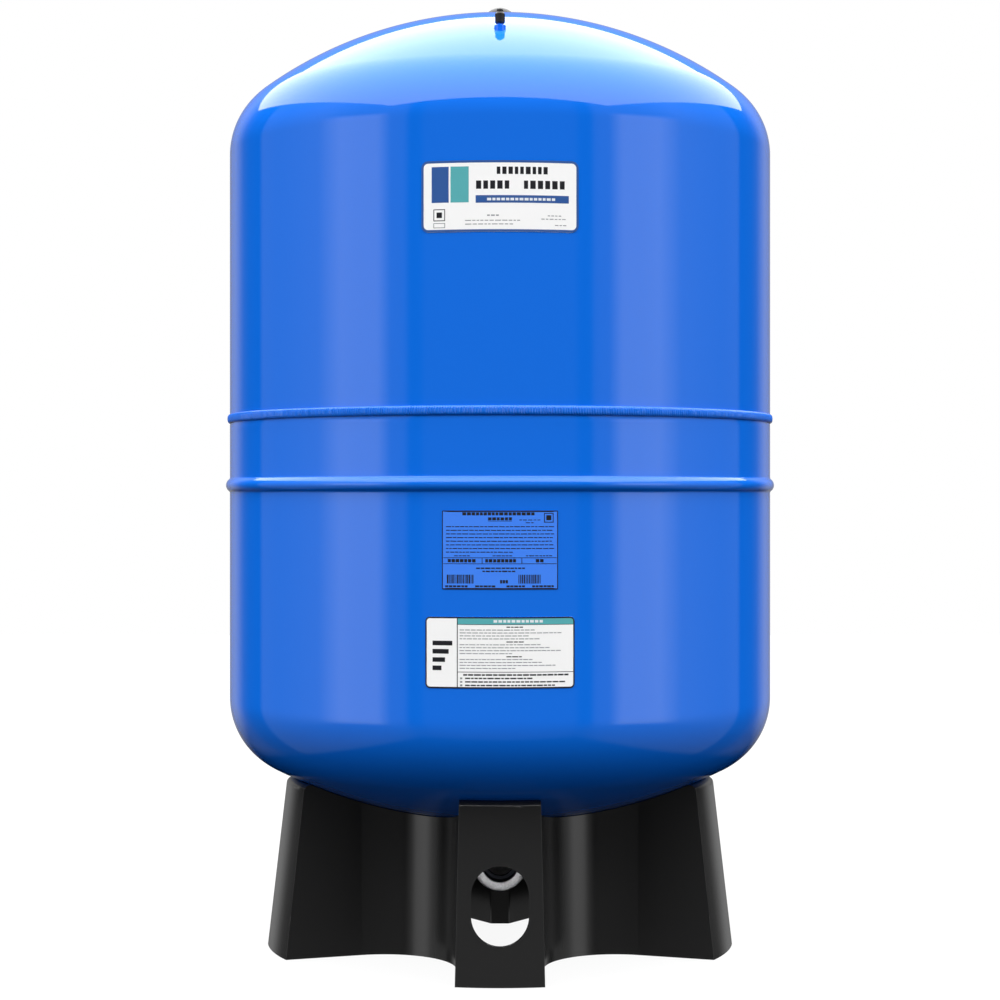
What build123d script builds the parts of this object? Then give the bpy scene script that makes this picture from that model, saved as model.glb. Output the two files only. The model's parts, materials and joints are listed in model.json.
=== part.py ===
from build123d import *
import os
from math import asin, atan2, cos, degrees, radians, sin, sqrt, tan

# Well pressure tank: a welded steel vessel with a rubber diaphragm, on a moulded five-legged stand.
# Millimetres. The origin is on the tank's axis at the floor, +Z is up, and the front leg,
# the labels and the water outlet face -Y.

os.makedirs("parts", exist_ok=True)

# Steel vessel
tank_radius = 330.2
shell_wall = 2.3
lower_tangent_z = 299.5
lower_knuckle = 93.0
lower_crown = 617.0
upper_tangent_z = 957.7
upper_knuckle = 91.0
upper_crown = 489.0

# Lapped and welded joint between the two shells
weld_z = 637.0
weld_height = 10.4
weld_proud = 3.2
lap_length = 18.0
lap_slope_height = 7.0
lap_clearance = 0.15
weld_gap = 0.05

# Rolled rib that clenches the diaphragm
rib_z = 556.7
rib_proud = 4.7
rib_radius = 9.0
rib_fillet = 3.0

# Layers inside the lower shell
layer_gap = 0.3
liner_wall = 1.6
liner_above_rib = 12.0
diaphragm_wall = 2.6
diaphragm_above_rib = 15.0
clench_wall = 2.4
clench_half_height = 18.0

# Water connection
port_bore = 17.5
port_neck_radius = 24.9
port_hole_clearance = 0.3
port_flange_radius = 38.0
port_flange_thickness = 3.0
gasket_radius = 40.0
gasket_thickness = 2.0
port_weld_leg = 5.5
elbow_reach = 45.0
elbow_band_radius = 32.4
elbow_band_length = 20.0
elbow_band_round = 1.2
elbow_body_radius = 26.5
elbow_bend = 28.0
outlet_below_tank = 52.4
outlet_thread_radius = 21.1
outlet_thread_depth = 19.0
outlet_chamfer = 1.2
thread_clearance = 0.2
neck_tail_length = 17.0

# Air valve, upright on the front slope of the upper shell
valve_inset = 99.7
valve_shank_radius = 5.15
valve_shank_depth = 16.0
valve_stem_radius = 3.85
valve_stem_height = 12.0
bushing_radius = 6.65
bushing_show = 3.8
bushing_depth = 15.0
bushing_chamfer = 0.4
bushing_clearance = 0.1

# Valve core
core_thread_radius = 2.55
core_thread_length = 4.0
core_shank_radius = 1.85
core_shank_length = 8.0
core_recess = 0.8
core_clearance = 0.1
core_slip = 0.05
core_throat_radius = 1.3
core_seal_groove = 0.35
core_seal_drop = 1.2
core_seal_height = 1.8
spring_chamber_radius = 1.25
core_floor = 0.8
pin_radius = 0.5
pin_hole_clearance = 0.15
pin_collar_radius = 1.1
pin_collar_height = 0.5
pin_foot_radius = 0.9
pin_foot_height = 0.4
pin_travel = 1.0
cup_radius = 1.6
cup_height = 1.1
spring_coil_radius = 0.85
spring_wire_radius = 0.13
spring_turns = 5

# Valve cap
cap_radius = 5.65
cap_rim_radius = 4.75
cap_lower_chamfer = 1.6
cap_above_bushing = 2.0
cap_body_height = 11.0
cap_shoulder_height = 2.4
cap_tip_radius = 3.65
cap_tip_height = 4.0
cap_tip_round = 1.6
cap_bore_clearance = 0.25
cap_seal_thickness = 1.0
cap_groove_count = 20
cap_groove_radius = 0.45
cap_groove_margin = 0.8

# Crown cap over a welded boss at the top of the tank
crown_cap_radius = 22.7
crown_cap_height = 15.7
crown_cap_wall = 2.0
crown_cap_clearance = 0.1
crown_boss_radius = 8.0
crown_boss_height = 9.0
crown_boss_chamfer = 0.8
crown_collar_wall = 2.0
crown_collar_clearance = 0.15

# Moulded stand
leg_count = 5
foot_radius = 284.4
leg_half_width = 50.1
outer_draft = 6.6
side_draft = 1.2
bay_radius = 86.6
leg_corner_radius = 0.5
leg_top_round = 8.0
stand_wall = 6.5
nose_distance = 89.8
nose_round = 4.0
seat_clearance = 0.3
deck_thickness = 6.0
deck_hole_radius = 52.0
pipe_hole_radius = 32.2
pipe_hole_length = 23.5
pipe_hole_above_outlet = 2.4
corner_tolerance = 0.3

# Stick-on labels: width along the curve, height, and how far the top edge is below what is above it
label_thickness = 0.3
label_clearance = 0.15
label_corner = 5.0
data_label_corner = 1.0
upper_label_width = 168.0
upper_label_height = 75.0
upper_label_drop = 52.5
data_label_width = 126.8
data_label_height = 85.6
data_label_drop = 28.8
lower_label_width = 164.2
lower_label_height = 77.6
lower_label_drop = 29.9

# Centres of the arcs that the heads are drawn with
lower_run = tank_radius - lower_knuckle
lower_drop = sqrt((lower_crown - lower_knuckle) ** 2 - lower_run**2)
lower_centre_z = lower_tangent_z + lower_drop
lower_joint_angle = degrees(atan2(lower_drop, lower_run))
upper_run = tank_radius - upper_knuckle
upper_drop = sqrt((upper_crown - upper_knuckle) ** 2 - upper_run**2)
upper_centre_z = upper_tangent_z - upper_drop
upper_joint_angle = degrees(atan2(upper_drop, upper_run))
tank_bottom_z = lower_centre_z - lower_crown
tank_top_z = upper_centre_z + upper_crown
valve_offset = tank_radius - valve_inset

# Insets of the inner layers from the outside of the lower shell
liner_inset = shell_wall + layer_gap
diaphragm_inset = liner_inset + liner_wall + layer_gap
clench_inset = diaphragm_inset + diaphragm_wall + layer_gap


def lower_surface_z(radius, inset=0.0):
    """Height of the lower head at a radius, on the surface that lies inset inside its outer face."""
    return lower_centre_z - sqrt((lower_crown - inset) ** 2 - radius**2)


def upper_surface_z(radius, inset=0.0):
    """Height of the upper head at a radius, on the surface that lies inset inside its outer face."""
    return upper_centre_z + sqrt((upper_crown - inset) ** 2 - radius**2)


def trace_rib(inset):
    """Draws the rib in the active BuildLine: a round between two tangent fillets."""
    centre_offset = rib_radius + rib_fillet - rib_proud
    rise = sqrt((rib_radius + rib_fillet) ** 2 - centre_offset**2)
    sweep_angle = degrees(atan2(rise, centre_offset))
    fillet_x = tank_radius + rib_fillet
    CenterArc((fillet_x, rib_z - rise), rib_fillet + inset, 180, -sweep_angle)
    CenterArc((fillet_x - centre_offset, rib_z), rib_radius - inset, -sweep_angle, 2 * sweep_angle)
    CenterArc((fillet_x, rib_z + rise), rib_fillet + inset, 180 + sweep_angle, -sweep_angle)
    return rise


def trace_lower_wall(inset, start_radius, top_z):
    """Draws one face of the lower wall in the active BuildLine, from start_radius up to top_z."""
    crown = lower_crown - inset
    start_angle = degrees(asin(start_radius / crown))
    CenterArc((0, lower_centre_z), crown, start_angle - 90, 90 - lower_joint_angle - start_angle)
    CenterArc((lower_run, lower_tangent_z), lower_knuckle - inset, -lower_joint_angle, lower_joint_angle)
    rise = trace_rib(inset)
    Line((tank_radius - inset, lower_tangent_z), (tank_radius - inset, rib_z - rise))
    Line((tank_radius - inset, rib_z + rise), (tank_radius - inset, top_z))


def trace_upper_wall(inset, bottom_z):
    """Draws one face of the upper shell in the active BuildLine, from bottom_z up to the axis."""
    Line((tank_radius - inset, bottom_z), (tank_radius - inset, upper_tangent_z))
    CenterArc((upper_run, upper_tangent_z), upper_knuckle - inset, 0, upper_joint_angle)
    CenterArc((0, upper_centre_z), upper_crown - inset, upper_joint_angle, 90 - upper_joint_angle)


def finish(builder, name):
    """Labels a finished piece and writes its STEP file."""
    builder.part.label = name
    export_step(builder.part, f"parts/{name}.step")


# Upper shell: a drawn dome with a straight skirt, pierced for the valve bushing.
with BuildPart() as upper_shell:
    with BuildSketch(Plane.XZ):
        with BuildLine():
            trace_upper_wall(0, weld_z)
            trace_upper_wall(shell_wall, weld_z)
            Line((tank_radius - shell_wall, weld_z), (tank_radius, weld_z))
            Line((0, tank_top_z - shell_wall), (0, tank_top_z))
        make_face()
    revolve(axis=Axis.Z)
    with BuildSketch(Plane.XY.offset(upper_tangent_z)):
        with Locations((0, -valve_offset)):
            Circle(bushing_radius + bushing_clearance)
    extrude(amount=tank_top_z - upper_tangent_z, mode=Mode.SUBTRACT)
finish(upper_shell, "upper_shell")

# Lower shell: a drawn head, the clenching rib, and a joggled edge that slips inside the upper shell.
port_hole_radius = port_neck_radius + port_hole_clearance
joggle_inset = shell_wall + lap_clearance
joggle_start_z = weld_z - lap_slope_height
lap_top_z = weld_z + lap_length
with BuildPart() as lower_shell:
    with BuildSketch(Plane.XZ):
        with BuildLine():
            lap_radius = tank_radius - joggle_inset
            for inset in (0, shell_wall):
                trace_lower_wall(inset, port_hole_radius, joggle_start_z)
                Polyline(
                    (tank_radius - inset, joggle_start_z),
                    (lap_radius - inset, weld_z),
                    (lap_radius - inset, lap_top_z),
                )
            Line((lap_radius, lap_top_z), (lap_radius - shell_wall, lap_top_z))
            Line(
                (port_hole_radius, lower_surface_z(port_hole_radius)),
                (port_hole_radius, lower_surface_z(port_hole_radius, shell_wall)),
            )
        make_face()
    revolve(axis=Axis.Z)
finish(lower_shell, "lower_shell")

# Girth weld: one bead round the lap, with a rounded back.
with BuildPart() as girth_weld:
    weld_inner = tank_radius + weld_gap
    with BuildSketch(Plane.XZ):
        with BuildLine():
            ThreePointArc(
                (weld_inner, weld_z - weld_height / 2),
                (tank_radius + weld_proud, weld_z),
                (weld_inner, weld_z + weld_height / 2),
            )
            Line((weld_inner, weld_z + weld_height / 2), (weld_inner, weld_z - weld_height / 2))
        make_face()
    revolve(axis=Axis.Z)
finish(girth_weld, "girth_weld")

# Liner: a thin plastic cup that keeps the water off the steel.
with BuildPart() as liner:
    with BuildSketch(Plane.XZ):
        with BuildLine():
            liner_top = rib_z + liner_above_rib
            liner_back = liner_inset + liner_wall
            trace_lower_wall(liner_inset, port_hole_radius, liner_top)
            trace_lower_wall(liner_back, port_hole_radius, liner_top)
            Line((tank_radius - liner_inset, liner_top), (tank_radius - liner_back, liner_top))
            Line(
                (port_hole_radius, lower_surface_z(port_hole_radius, liner_inset)),
                (port_hole_radius, lower_surface_z(port_hole_radius, liner_back)),
            )
        make_face()
    revolve(axis=Axis.Z)
finish(liner, "liner")

# Port flange: a disc inside the tank, a neck through its wall and a threaded tail for the elbow.
gasket_z = lower_surface_z(gasket_radius, liner_back) + weld_gap
flange_z = gasket_z + gasket_thickness
flange_top_z = flange_z + port_flange_thickness
outlet_z = tank_bottom_z - outlet_below_tank
elbow_top_z = outlet_z + elbow_reach
with BuildPart() as port_flange:
    with BuildSketch(Plane.XZ):
        with BuildLine():
            tail_radius = outlet_thread_radius - thread_clearance
            tail_z = elbow_top_z - neck_tail_length
            Polyline(
                (port_bore, tail_z),
                (tail_radius, tail_z),
                (tail_radius, elbow_top_z),
                (port_neck_radius, elbow_top_z),
                (port_neck_radius, flange_z),
                (port_flange_radius, flange_z),
                (port_flange_radius, flange_top_z),
                (port_bore, flange_top_z),
                close=True,
            )
        make_face()
    revolve(axis=Axis.Z)
finish(port_flange, "port_flange")

# Port gasket: a flat rubber ring between the flange and the liner.
with BuildPart() as port_gasket:
    with BuildSketch(Plane.XY.offset(gasket_z)):
        Circle(gasket_radius)
        Circle(port_hole_radius, mode=Mode.SUBTRACT)
    extrude(amount=gasket_thickness)
finish(port_gasket, "port_gasket")

# Port weld: a fillet bead between the neck and the outside of the tank.
with BuildPart() as port_weld:
    with BuildSketch(Plane.XZ):
        with BuildLine():
            bead_inner = port_neck_radius + weld_gap
            bead_outer = port_neck_radius + port_weld_leg
            bead_top = lower_surface_z(port_neck_radius) - weld_gap
            Polyline(
                (bead_inner, bead_top - port_weld_leg),
                (bead_outer, bead_top),
                (bead_inner, bead_top),
                close=True,
            )
        make_face()
    revolve(axis=Axis.Z)
finish(port_weld, "port_weld")

# Water elbow: a cast quarter bend with a banded, threaded socket at each end.
elbow_ends = (
    Plane.XY.offset(elbow_top_z),
    Plane(origin=(0, -elbow_reach, outlet_z), x_dir=(1, 0, 0), z_dir=(0, -1, 0)),
)


def trace_bend(reach):
    """Draws the elbow's centre line in the active BuildLine, with both arms as long as reach."""
    ends = ((0, 0, outlet_z + reach), (0, 0, outlet_z), (0, -reach, outlet_z))
    return FilletPolyline(*ends, radius=elbow_bend)


with BuildPart() as water_elbow:
    with BuildLine():
        route = trace_bend(elbow_reach - elbow_band_length / 2)
    with BuildSketch(Plane(origin=route @ 0, z_dir=route % 0)):
        Circle(elbow_body_radius)
    sweep(path=route)
    for end_plane in elbow_ends:
        with BuildSketch(end_plane):
            Circle(elbow_band_radius)
        extrude(amount=-elbow_band_length)
    fillet(water_elbow.edges().group_by(Axis.Z)[-1], elbow_band_round)
    fillet(water_elbow.edges().group_by(Axis.Y)[0], elbow_band_round)
    with BuildLine():
        bore_route = trace_bend(elbow_reach + elbow_band_round)
    with BuildSketch(Plane(origin=bore_route @ 0, z_dir=bore_route % 0)):
        Circle(port_bore)
    sweep(path=bore_route, mode=Mode.SUBTRACT)
    for end_plane in elbow_ends:
        with BuildSketch(end_plane):
            Circle(outlet_thread_radius)
        extrude(amount=-outlet_thread_depth, mode=Mode.SUBTRACT)
    mouth = water_elbow.edges().filter_by(GeomType.CIRCLE).group_by(Axis.Y)[0]
    chamfer(mouth.sort_by(SortBy.RADIUS)[0], outlet_chamfer)
finish(water_elbow, "water_elbow")

# Diaphragm: with no water in the tank it lies in the liner, flat over the port.
with BuildPart() as diaphragm:
    with BuildSketch(Plane.XZ):
        with BuildLine():
            diaphragm_back = diaphragm_inset + diaphragm_wall
            diaphragm_top = rib_z + diaphragm_above_rib
            flat_z = flange_top_z + layer_gap
            flat_radius = sqrt(
                (lower_crown - diaphragm_inset) ** 2 - (lower_centre_z - flat_z) ** 2
            )
            back_z = lower_surface_z(flat_radius, diaphragm_back)
            trace_lower_wall(diaphragm_inset, flat_radius, diaphragm_top)
            trace_lower_wall(diaphragm_back, flat_radius, diaphragm_top)
            Line(
                (tank_radius - diaphragm_inset, diaphragm_top),
                (tank_radius - diaphragm_back, diaphragm_top),
            )
            Polyline((flat_radius, flat_z), (0, flat_z), (0, back_z), (flat_radius, back_z))
        make_face()
    revolve(axis=Axis.Z)
finish(diaphragm, "diaphragm")

# Clench ring: a steel hoop whose ridge presses the rubber and the liner into the rib.
with BuildPart() as clench_ring:
    with BuildSketch(Plane.XZ):
        with BuildLine():
            rise = trace_rib(clench_inset)
            hoop_outer = tank_radius - clench_inset
            hoop_inner = hoop_outer - clench_wall
            Polyline(
                (hoop_outer, rib_z - rise),
                (hoop_outer, rib_z - clench_half_height),
                (hoop_inner, rib_z - clench_half_height),
                (hoop_inner, rib_z + clench_half_height),
                (hoop_outer, rib_z + clench_half_height),
                (hoop_outer, rib_z + rise),
            )
        make_face()
    revolve(axis=Axis.Z)
finish(clench_ring, "clench_ring")

# Air valve: every height is counted from where its axis leaves the dome.
valve_z = upper_surface_z(valve_offset)
bushing_top_z = valve_z + bushing_show
stem_top_z = bushing_top_z + valve_stem_height
core_top_z = stem_top_z - core_recess
core_shoulder_z = core_top_z - core_thread_length
core_bottom_z = core_shoulder_z - core_shank_length
valve_plane = Plane(origin=(0, -valve_offset, 0), x_dir=(1, 0, 0), z_dir=(0, -1, 0))
valve_axis = Axis((0, -valve_offset, 0), (0, 0, 1))


def at_valve(height):
    """A level plane on the valve's axis at a height."""
    return Plane(origin=(0, -valve_offset, height))


# Valve bushing: a threaded steel spud welded into the dome, nearly flush at its uphill side.
with BuildPart() as valve_bushing:
    with BuildSketch(at_valve(valve_z - bushing_depth)):
        Circle(bushing_radius)
    extrude(amount=bushing_top_z - valve_z + bushing_depth)
    chamfer(valve_bushing.edges().group_by(Axis.Z)[-1], bushing_chamfer)
    with BuildSketch(at_valve(valve_z - bushing_depth)):
        Circle(valve_shank_radius + bushing_clearance)
    extrude(amount=bushing_top_z - valve_z + bushing_depth, mode=Mode.SUBTRACT)
finish(valve_bushing, "valve_bushing")

# Valve body: a shank that screws into the bushing and a stem bored for the core.
with BuildPart() as valve_body:
    shank_bottom_z = valve_z - valve_shank_depth
    with BuildSketch(valve_plane):
        with BuildLine():
            core_bore = core_shank_radius + core_clearance
            thread_bore = core_thread_radius + core_clearance
            seat_z = core_bottom_z - cup_height - pin_foot_height - 2 * pin_travel
            Polyline(
                (core_throat_radius, shank_bottom_z),
                (valve_shank_radius, shank_bottom_z),
                (valve_shank_radius, bushing_top_z),
                (valve_stem_radius, bushing_top_z),
                (valve_stem_radius, stem_top_z),
                (thread_bore, stem_top_z),
                (thread_bore, core_shoulder_z),
                (core_bore, core_shoulder_z),
                (core_bore, seat_z),
                (core_throat_radius, seat_z),
                close=True,
            )
        make_face()
    revolve(axis=valve_axis)
finish(valve_body, "valve_body")

# Core barrel: a threaded head and a shank that holds the pin's spring.
with BuildPart() as core_barrel:
    with BuildSketch(valve_plane):
        with BuildLine():
            pin_hole = pin_radius + pin_hole_clearance
            seal_top_z = core_shoulder_z - core_seal_drop
            seal_bottom_z = seal_top_z - core_seal_height
            groove_radius = core_shank_radius - core_seal_groove
            chamber_floor_z = core_bottom_z + core_floor
            Polyline(
                (pin_hole, core_top_z),
                (core_thread_radius, core_top_z),
                (core_thread_radius, core_shoulder_z + core_clearance),
                (core_shank_radius, core_shoulder_z + core_clearance),
                (core_shank_radius, seal_top_z),
                (groove_radius, seal_top_z),
                (groove_radius, seal_bottom_z),
                (core_shank_radius, seal_bottom_z),
                (core_shank_radius, core_bottom_z),
                (pin_hole, core_bottom_z),
                (pin_hole, chamber_floor_z),
                (spring_chamber_radius, chamber_floor_z),
                (spring_chamber_radius, core_shoulder_z),
                (pin_hole, core_shoulder_z),
                close=True,
            )
        make_face()
    revolve(axis=valve_axis)
finish(core_barrel, "core_barrel")

# Core seal: a plastic ring round the barrel.
with BuildPart() as core_seal:
    with BuildSketch(at_valve(seal_bottom_z + core_slip)):
        Circle(core_shank_radius + core_slip)
        Circle(groove_radius + core_slip, mode=Mode.SUBTRACT)
    extrude(amount=core_seal_height - core_clearance)
finish(core_seal, "core_seal")

# Core cup: the rubber disc that the spring pulls up against the barrel.
cup_top_z = core_bottom_z - core_slip
cup_bottom_z = cup_top_z - cup_height
with BuildPart() as core_cup:
    with BuildSketch(at_valve(cup_bottom_z)):
        Circle(cup_radius)
        Circle(pin_radius + core_slip, mode=Mode.SUBTRACT)
    extrude(amount=cup_height)
finish(core_cup, "core_cup")

# Core pin: pressed down by a gauge or a hose, it opens the valve.
collar_top_z = core_shoulder_z - core_clearance
collar_bottom_z = collar_top_z - pin_collar_height
foot_top_z = cup_bottom_z - core_slip
with BuildPart() as core_pin:
    with BuildSketch(valve_plane):
        with BuildLine():
            Polyline(
                (0, stem_top_z - core_clearance),
                (pin_radius, stem_top_z - core_clearance),
                (pin_radius, collar_top_z),
                (pin_collar_radius, collar_top_z),
                (pin_collar_radius, collar_bottom_z),
                (pin_radius, collar_bottom_z),
                (pin_radius, foot_top_z),
                (pin_foot_radius, foot_top_z),
                (pin_foot_radius, foot_top_z - pin_foot_height),
                (0, foot_top_z - pin_foot_height),
                close=True,
            )
        make_face()
    revolve(axis=valve_axis)
finish(core_pin, "core_pin")

# Core spring: a wire helix between the barrel's floor and the pin's collar.
spring_bottom_z = chamber_floor_z + spring_wire_radius + core_slip
spring_length = collar_bottom_z - core_slip - spring_wire_radius - spring_bottom_z
with BuildPart() as core_spring:
    with BuildLine(at_valve(spring_bottom_z)):
        coil = Helix(
            pitch=spring_length / spring_turns, height=spring_length, radius=spring_coil_radius
        )
    with BuildSketch(Plane(origin=coil @ 0, z_dir=coil % 0)):
        Circle(spring_wire_radius)
    sweep(path=coil, is_frenet=True)
finish(core_spring, "core_spring")

# Valve cap: a grooved plastic cap with a narrower tip.
cap_bottom_z = bushing_top_z + cap_above_bushing
cap_shoulder_z = cap_bottom_z + cap_body_height
cap_tip_z = cap_shoulder_z + cap_shoulder_height
cap_top_z = cap_tip_z + cap_tip_height
cap_bore = valve_stem_radius + cap_bore_clearance
cap_cavity_z = stem_top_z + core_clearance + cap_seal_thickness
cap_dome_radius = (cap_tip_radius**2 + cap_tip_round**2) / (2 * cap_tip_round)
cap_dome_angle = degrees(asin(cap_tip_radius / cap_dome_radius))
with BuildPart() as valve_cap:
    with BuildSketch(valve_plane):
        with BuildLine():
            Polyline(
                (cap_bore, cap_bottom_z),
                (cap_rim_radius, cap_bottom_z),
                (cap_radius, cap_bottom_z + cap_lower_chamfer),
                (cap_radius, cap_shoulder_z),
                (cap_tip_radius, cap_tip_z),
                (cap_tip_radius, cap_top_z - cap_tip_round),
            )
            dome_centre = (0, cap_top_z - cap_dome_radius)
            CenterArc(dome_centre, cap_dome_radius, 90 - cap_dome_angle, cap_dome_angle)
            Polyline((0, cap_top_z), (0, cap_cavity_z), (cap_bore, cap_cavity_z), (cap_bore, cap_bottom_z))
        make_face()
    revolve(axis=valve_axis)
    groove_bottom_z = cap_bottom_z + cap_lower_chamfer + cap_groove_margin
    groove_top_z = cap_shoulder_z - cap_groove_margin
    with BuildSketch(at_valve(groove_bottom_z)):
        with PolarLocations(cap_radius, cap_groove_count):
            Circle(cap_groove_radius)
    extrude(amount=groove_top_z - groove_bottom_z, mode=Mode.SUBTRACT)
finish(valve_cap, "valve_cap")

# Cap seal: a rubber disc at the end of the cap's bore.
with BuildPart() as cap_seal:
    with BuildSketch(at_valve(cap_cavity_z - cap_seal_thickness)):
        Circle(cap_bore - core_clearance)
    extrude(amount=cap_seal_thickness - core_slip)
finish(cap_seal, "cap_seal")

# Crown boss: a short steel stud welded to the top of the dome.
with BuildPart() as crown_boss:
    with BuildSketch(Plane.XY.offset(tank_top_z + weld_gap)):
        Circle(crown_boss_radius)
    extrude(amount=crown_boss_height)
    chamfer(crown_boss.edges().group_by(Axis.Z)[-1], crown_boss_chamfer)
finish(crown_boss, "crown_boss")

# Crown cap: a hollow plastic dome whose collar grips the boss.
crown_cap_centre_z = tank_top_z + crown_cap_height - crown_cap_radius
with BuildPart() as crown_cap:
    with Locations((0, 0, crown_cap_centre_z)):
        Sphere(crown_cap_radius)
        Sphere(crown_cap_radius - crown_cap_wall, mode=Mode.SUBTRACT)
    collar_inner = crown_boss_radius + crown_collar_clearance
    with BuildSketch(Plane.XY.offset(tank_top_z)):
        Circle(collar_inner + crown_collar_wall)
        Circle(collar_inner, mode=Mode.SUBTRACT)
    extrude(amount=crown_cap_height - crown_cap_wall / 2 - crown_collar_wall)
    with Locations((0, 0, upper_centre_z)):
        Sphere(upper_crown + crown_cap_clearance, mode=Mode.SUBTRACT)
finish(crown_cap, "crown_cap")

# Stand: five parallel-sided legs, joined by hollow bays, under a dished deck that the tank sits on.
seat_radius = lower_crown + seat_clearance
draft_slope = tan(radians(outer_draft))
leg_step = 360 / leg_count
bay_angle = leg_step / 2


def trace_envelope(inset, seat):
    """Draws a half section in the active BuildLine: floor, drafted side and the dish of radius seat."""
    foot = foot_radius - inset
    a = draft_slope**2 + 1
    b = foot * draft_slope + lower_centre_z
    c = foot**2 + lower_centre_z**2 - seat**2
    corner_z = (b - sqrt(b**2 - a * c)) / a
    corner_radius = foot - corner_z * draft_slope
    corner_angle = degrees(asin(corner_radius / seat))
    Polyline((0, lower_centre_z - seat), (0, 0), (foot, 0), (corner_radius, corner_z))
    CenterArc((0, lower_centre_z), seat, -90, corner_angle)
    return corner_radius, corner_z


def draw_legs(half_width, mode=Mode.ADD):
    """Draws the legs in the active BuildSketch as bars that all start at the axis."""
    with PolarLocations(stand_reach / 2, leg_count, start_angle=-90):
        Rectangle(stand_reach, 2 * half_width, mode=mode)


def corners_at(sketch, distance):
    """The corners of a sketch that lie at a distance from the axis."""
    return sketch.vertices().filter_by(
        lambda vertex: abs(sqrt(vertex.X**2 + vertex.Y**2) - distance) < corner_tolerance
    )


stand_reach = foot_radius + stand_wall
stand_height = lower_surface_z(foot_radius) + leg_top_round
inner_half_width = leg_half_width - stand_wall
deck_seat = seat_radius + deck_thickness
bay_corner_distance = leg_half_width / sin(radians(bay_angle))
nose_half_flat = (nose_distance * sin(radians(bay_angle)) - inner_half_width) / cos(radians(bay_angle))
nose_corner_distance = sqrt(nose_distance**2 + nose_half_flat**2)


def draw_noses(distance, mode=Mode.ADD):
    """Draws the five-sided outline of the inner walls in the active BuildSketch."""
    RegularPolygon(distance, leg_count, major_radius=False, rotation=-90, mode=mode)


def is_leg_corner(edge):
    """True for an upright edge at the outer end of a leg."""
    middle = edge @ 0.5
    return sqrt(middle.X**2 + middle.Y**2) > foot_radius - leg_half_width


# Leg room: the space inside the legs and between their inner walls, open at the floor.
with BuildPart() as leg_room:
    with BuildSketch() as room_outline:
        draw_legs(inner_half_width)
        draw_noses(nose_distance)
        fillet(corners_at(room_outline, nose_corner_distance), nose_round)
    extrude(amount=stand_height, taper=side_draft)
    with BuildSketch(Plane.XZ):
        with BuildLine():
            trace_envelope(stand_wall, deck_seat)
        make_face()
    revolve(axis=Axis.Z, mode=Mode.INTERSECT)

# Bay room: the pockets between the bays and the inner walls, open at the floor too.
with BuildPart() as bay_room:
    with BuildSketch() as bay_outline:
        draw_legs(leg_half_width)
        fillet(corners_at(bay_outline, bay_corner_distance), bay_radius)
        offset(amount=-stand_wall, mode=Mode.REPLACE)
        draw_legs(leg_half_width, Mode.SUBTRACT)
        draw_noses(nose_distance + stand_wall, Mode.SUBTRACT)
    extrude(amount=stand_height)
    with BuildSketch(Plane.XZ):
        with BuildLine():
            trace_envelope(stand_wall, deck_seat)
        make_face()
    revolve(axis=Axis.Z, mode=Mode.INTERSECT)

with BuildPart() as stand:
    with BuildSketch() as outer_outline:
        draw_legs(leg_half_width)
        fillet(corners_at(outer_outline, bay_corner_distance), bay_radius)
    extrude(amount=stand_height, taper=side_draft)
    with BuildSketch(Plane.XZ) as envelope:
        with BuildLine():
            corner_radius, corner_z = trace_envelope(0, seat_radius)
        make_face()
        fillet(envelope.vertices().sort_by_distance((corner_radius, corner_z, 0))[0], leg_top_round)
    revolve(axis=Axis.Z, mode=Mode.INTERSECT)
    upright_edges = stand.edges().filter_by(lambda edge: edge.bounding_box().size.Z > corner_z / 2)
    fillet(upright_edges.filter_by(is_leg_corner), leg_corner_radius)
    add(leg_room.part, mode=Mode.SUBTRACT)
    add(bay_room.part, mode=Mode.SUBTRACT)
    with BuildSketch(Plane.XY):
        Circle(deck_hole_radius)
    extrude(amount=stand_height, mode=Mode.SUBTRACT)
    pipe_hole_z = outlet_z + pipe_hole_above_outlet - pipe_hole_length / 2
    with BuildSketch(Plane(origin=(0, -stand_reach, pipe_hole_z), x_dir=(1, 0, 0), z_dir=(0, -1, 0))):
        SlotCenterToCenter(pipe_hole_length, 2 * pipe_hole_radius, rotation=90)
    extrude(amount=-(stand_reach - nose_distance), mode=Mode.SUBTRACT)
finish(stand, "stand")

# Labels: three plain stickers that follow the front of the tank, hung from the dome's edge and the rib.
upper_label_top = upper_tangent_z - upper_label_drop
data_label_top = rib_z - data_label_drop
lower_label_top = data_label_top - data_label_height - lower_label_drop
label_inner = tank_radius + label_clearance
for name, width, height, top_z, corner in (
    ("upper_label", upper_label_width, upper_label_height, upper_label_top, label_corner),
    ("data_label", data_label_width, data_label_height, data_label_top, data_label_corner),
    ("lower_label", lower_label_width, lower_label_height, lower_label_top, label_corner),
):
    middle_z = top_z - height / 2
    with BuildPart() as label:
        with BuildSketch(Plane(origin=(0, 0, middle_z), x_dir=(1, 0, 0), z_dir=(0, -1, 0))):
            RectangleRounded(2 * tank_radius * sin(width / 2 / tank_radius), height, corner)
        extrude(amount=tank_radius + label_clearance + 2 * label_thickness)
        with Locations((0, 0, middle_z)):
            Cylinder(label_inner + label_thickness, 2 * height, mode=Mode.INTERSECT)
            Cylinder(label_inner, 2 * height, mode=Mode.SUBTRACT)
    finish(label, name)
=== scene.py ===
"""Looks of a well pressure tank: a steel vessel in gloss blue enamel on a black moulded stand.

Lengths in the tables are millimetres in the part's own frame, with the origin on the tank's axis at
the floor, +Z up and the labels towards -Y. Surfaces are written to Blender in metres.
"""

import json
from math import asin, atan2, pi, radians, sqrt

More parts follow.
